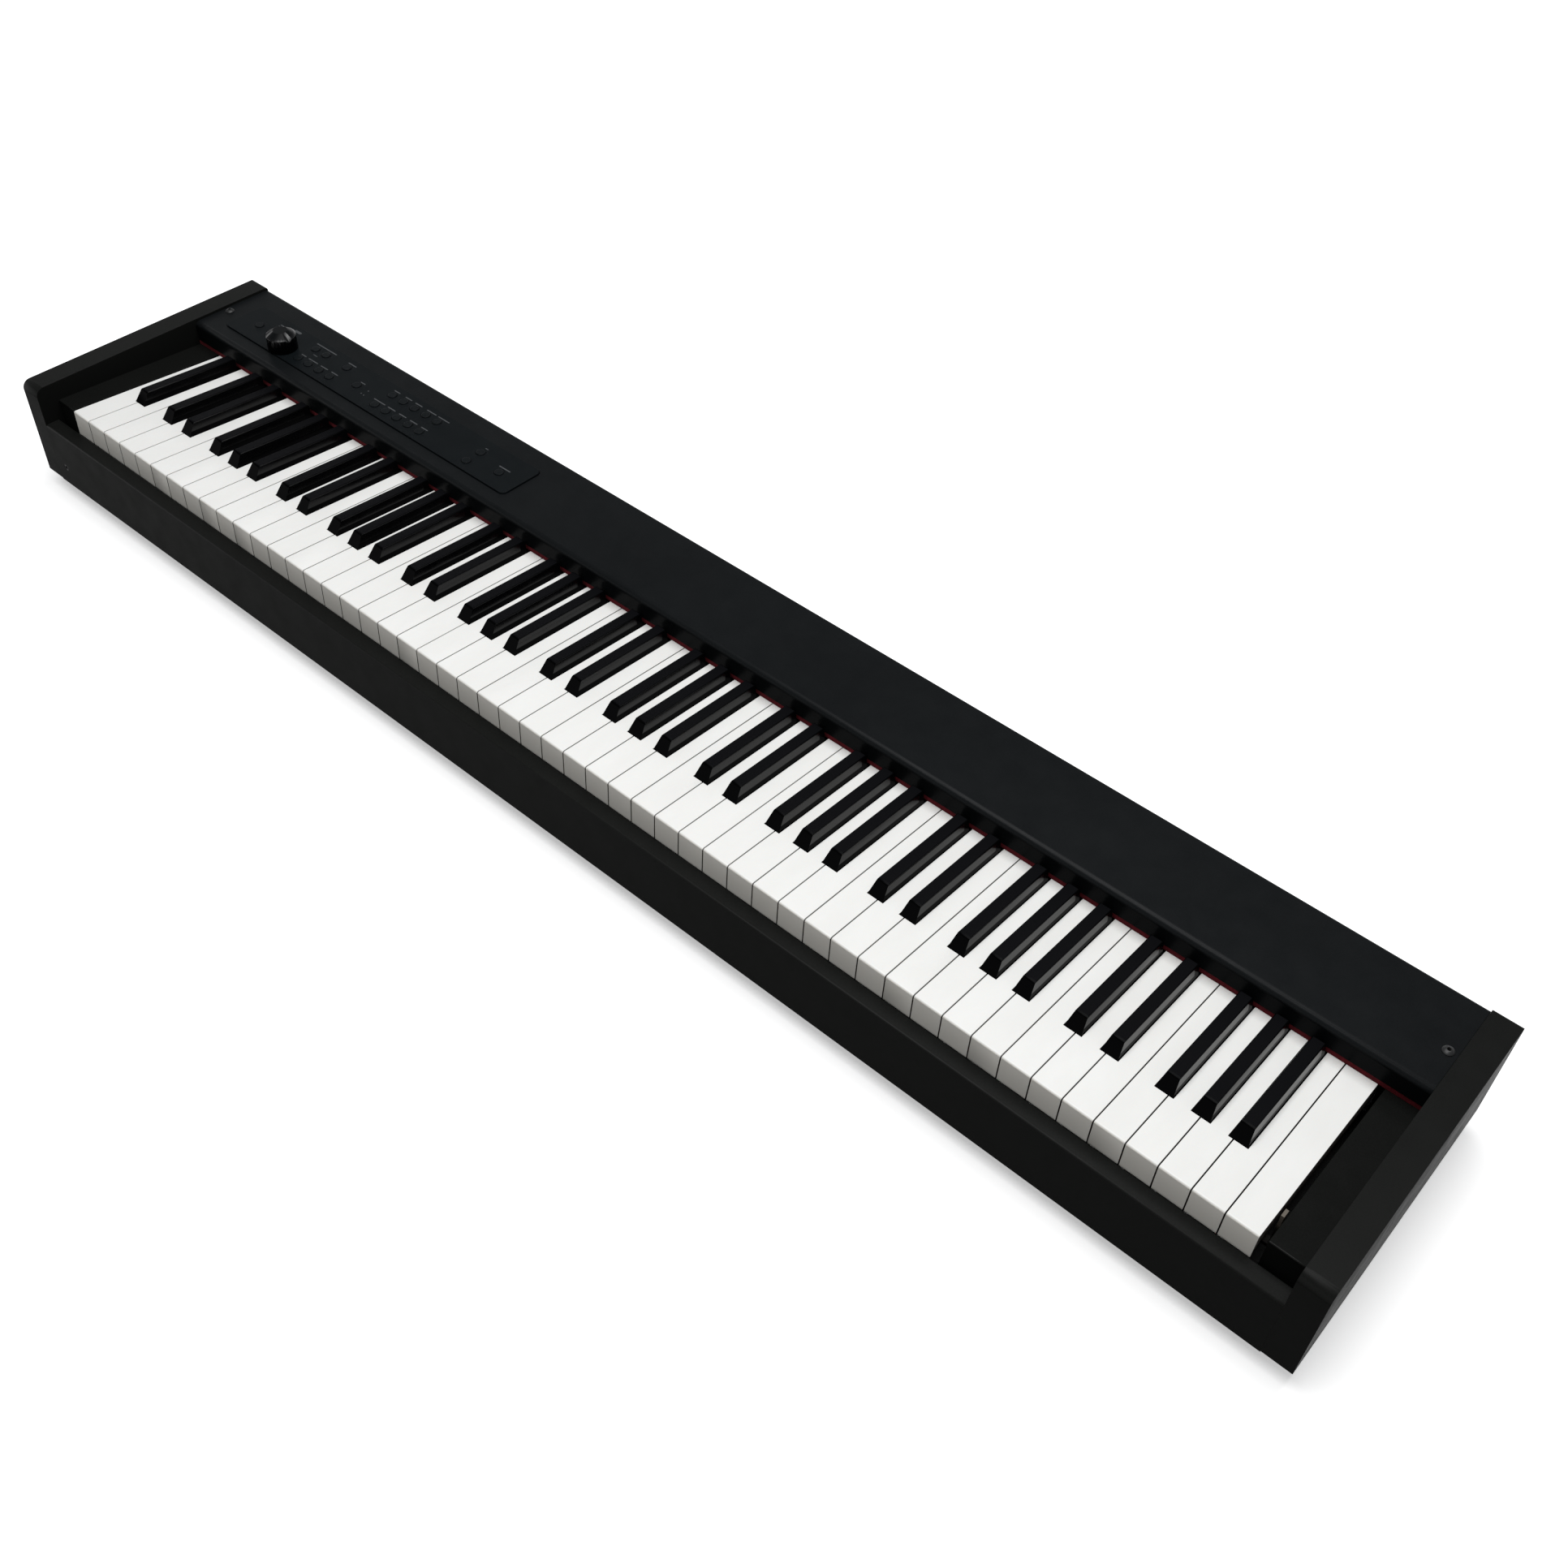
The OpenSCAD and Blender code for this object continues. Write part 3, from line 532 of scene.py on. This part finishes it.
# Marks of ink on the control plate, in mm from its lower left corner. A bar is (left end, right
# end, height of its middle, width) and a dot is (x, y)
PLATE_CORNER = (-617.4, 59.3, 112.2)
BARS = [
    # Upper marks of the left part
    (39, 47, 35.6, 1.0), (39, 44.5, 33.2, 0.8), (56.5, 66, 38.6, 3.0),
    (89.5, 118.5, 38.9, 1.3), (136.5, 147.5, 38.4, 1.3),
    # Lower row of four buttons
    (94, 101, 17.5, 1.2), (104.5, 118, 17.5, 1.2), (122, 132.5, 17.5, 1.2),
    (137, 146.5, 17.8, 1.2),
    # Between the rows, and over the middle button
    (102, 108, 24.6, 0.8), (169.5, 176, 25.8, 1.1),
    # Upper bank of five
    (202, 210, 38.3, 1.2), (217.5, 226.5, 38.3, 1.2), (231, 240.5, 38.3, 1.2),
    (247, 259.5, 38.3, 1.2), (262, 277, 38.3, 1.2),
    # Lower bank of five
    (199, 214.5, 17.1, 1.2), (218, 228.5, 17.1, 1.2), (233.5, 243.5, 17.1, 1.2),
    (248.5, 258.5, 17.1, 1.2), (263.5, 272.5, 17.1, 1.2),
    # Right part
    (328.5, 332.5, 34.8, 0.9), (356.5, 370.5, 25.7, 1.3),
]
DOTS = [(184, 14.4), (188, 13.9), (186, 21)]
DOT_SIZE = 1.4
# Underside and top of the ink over the plate's surface, in mm
INK_LEVELS = (-0.01, 0.03)


def stadium(x0, x1, y, width, corners=7):
    """Outline of a bar with round ends, counter-clockwise."""
    r = width / 2
    points = []
    for centre, start in ((x1 - r, -90), (x0 + r, 90)):
        for i in range(corners):
            a = math.radians(start + 180 * i / (corners - 1))
            points.append((centre + r * math.cos(a), y + r * math.sin(a)))
    return points


def plate_print():
    """All printed marks of the plate, each a very thin raised island of ink."""
    dot_r = DOT_SIZE / 2
    outlines = [stadium(*bar) for bar in BARS]
    outlines += [stadium(x - dot_r, x + dot_r, y, DOT_SIZE) for x, y in DOTS]
    corner_x, corner_y, surface = PLATE_CORNER
    verts, faces = [], []
    for outline in outlines:
        base = len(verts)
        n = len(outline)
        for z in INK_LEVELS:
            for x, y in outline:
                verts.append([(corner_x + x) * MM, (corner_y + y) * MM, (surface + z) * MM])
        faces.append([base + n + i for i in range(n)])
        faces.append([base + n - 1 - i for i in range(n)])
        for i in range(n):
            j = (i + 1) % n
            faces.append([base + i, base + j, base + n + j, base + n + i])
    mesh_piece("plate_print", verts, faces, ink, "case")


plate_print()


def look_at(obj, target):
    direction = Vector(target) - obj.location
    obj.rotation_mode = "QUATERNION"
    obj.rotation_quaternion = direction.to_track_quat("-Z", "Y")


def area_light(name, place, target, size, power):
    data = bpy.data.lights.new(name, "AREA")
    data.shape = "RECTANGLE"
    data.size, data.size_y = size
    data.energy = power
    obj = bpy.data.objects.new(name, data)
    bpy.context.scene.collection.objects.link(obj)
    obj.location = place
    look_at(obj, target)


area_light(
    "ceiling_light",
    place=(0.15, -0.02, 2.4),
    target=(0.0, 0.0, 0.05),
    size=(2.4, 1.5),
    power=57,
)

SKY_COLOUR = rgb(0.97, 0.985, 1.0)
SKY_STRENGTH = 0.22
world = bpy.data.worlds.new("studio")
bpy.context.scene.world = world
world.use_nodes = True
world_tree = world.node_tree
world_tree.nodes.clear()
world_out = world_tree.nodes.new("ShaderNodeOutputWorld")
sky = world_tree.nodes.new("ShaderNodeBackground")
sky.inputs["Color"].default_value = SKY_COLOUR
sky.inputs["Strength"].default_value = SKY_STRENGTH
world_tree.links.new(sky.outputs[0], world_out.inputs["Surface"])

WHITE = rgb(1, 1, 1)
BOUNCE = rgb(0.10, 0.097, 0.09)
# Glow of the white side near the object, which leaves room for its shadow, and far from it
GLOW_NEAR, GLOW_FAR = 0.42, 1.0
# Distances from the object between which the glow rises
GLOW_RISE = (1.3, 4.0)


def stage_material():
    """White with shadows for camera, mirror and glass; a dim bounce and the sky for others."""
    t = Tree("studio_floor")
    t.nt.nodes.remove(t.bsdf)
    distance = t.add("ShaderNodeVectorMath", operation="LENGTH")
    t.link(t.coord.outputs["Object"], distance.inputs[0])
    away = t.map(distance.outputs["Value"], *GLOW_RISE, 0, 1)
    path = t.add("ShaderNodeLightPath")
    seen = t.math("MAXIMUM", path.outputs["Is Camera Ray"], path.outputs["Is Glossy Ray"])
    seen = t.math("MAXIMUM", seen, path.outputs["Is Transmission Ray"])
    sides = []
    for colour, glow_colour, glow in (
        (BOUNCE, SKY_COLOUR, t.map(away, 0, 1, 0.0, SKY_STRENGTH)),
        (WHITE, WHITE, t.map(away, 0, 1, GLOW_NEAR, GLOW_FAR)),
    ):
        cloth = t.add("ShaderNodeBsdfDiffuse")
        cloth.inputs["Color"].default_value = colour
        lift = t.add("ShaderNodeEmission")
        lift.inputs["Color"].default_value = glow_colour
        t.put(lift.inputs["Strength"], glow)
        both = t.add("ShaderNodeAddShader")
        t.link(cloth.outputs[0], both.inputs[0])
        t.link(lift.outputs[0], both.inputs[1])
        sides.append(both.outputs[0])
    mix = t.add("ShaderNodeMixShader")
    for source, target in zip((seen, *sides), mix.inputs):
        t.link(source, target)
    t.link(mix.outputs[0], t.out.inputs["Surface"])
    # The glow isn't sampled as a lamp, which keeps the render quick
    t.mat.cycles.emission_sampling = "NONE"
    return t.mat


def stage_cove(flat_r=7.0, cove_r=2.0, wall_top=2.6, around=96, steps=10):
    """Round floor that curves up into a wall, as one mesh."""
    profile = [(flat_r, 0.0)]
    for i in range(1, steps + 1):
        a = math.pi / 2 * i / steps
        profile.append((flat_r + cove_r * math.sin(a), cove_r * (1 - math.cos(a))))
    profile.append((flat_r + cove_r, wall_top))
    verts = [(0.0, 0.0, 0.0)]
    for r, z in profile:
        for i in range(around):
            a = 2 * math.pi * i / around
            verts.append((r * math.cos(a), r * math.sin(a), z))
    faces = [(0, 1 + i, 1 + (i + 1) % around) for i in range(around)]
    for k in range(len(profile) - 1):
        low_ring, high_ring = 1 + k * around, 1 + (k + 1) * around
        for i in range(around):
            j = (i + 1) % around
            faces.append((low_ring + i, high_ring + i, high_ring + j, low_ring + j))
    mesh = bpy.data.meshes.new("studio_floor")
    mesh.from_pydata(verts, [], faces)
    mesh.polygons.foreach_set("use_smooth", [True] * len(mesh.polygons))
    return mesh


floor = bpy.data.objects.new("studio_floor", stage_cove())
bpy.context.scene.collection.objects.link(floor)
floor.data.materials.append(stage_material())

# The camera's place and its own axes, fitted to the key gaps
CAMERA_PLACE = (0.70769, -0.69292, 0.98815)
CAMERA_RIGHT = (0.75188, 0.65837, 0.03512)
CAMERA_UP = (-0.49189, 0.52470, 0.69479)
CAMERA_BACK = (0.43900, -0.53967, 0.71835)

cam_data = bpy.data.cameras.new("camera")
cam_data.sensor_width = 36.0
cam_data.lens = 39.03
cam_data.clip_start = 0.02
cam = bpy.data.objects.new("camera", cam_data)
bpy.context.scene.collection.objects.link(cam)
columns = (CAMERA_RIGHT, CAMERA_UP, CAMERA_BACK, CAMERA_PLACE)
cam.matrix_world = Matrix((*zip(*columns), (0, 0, 0, 1)))
bpy.context.scene.camera = cam
bpy.context.scene.view_settings.view_transform = "Standard"
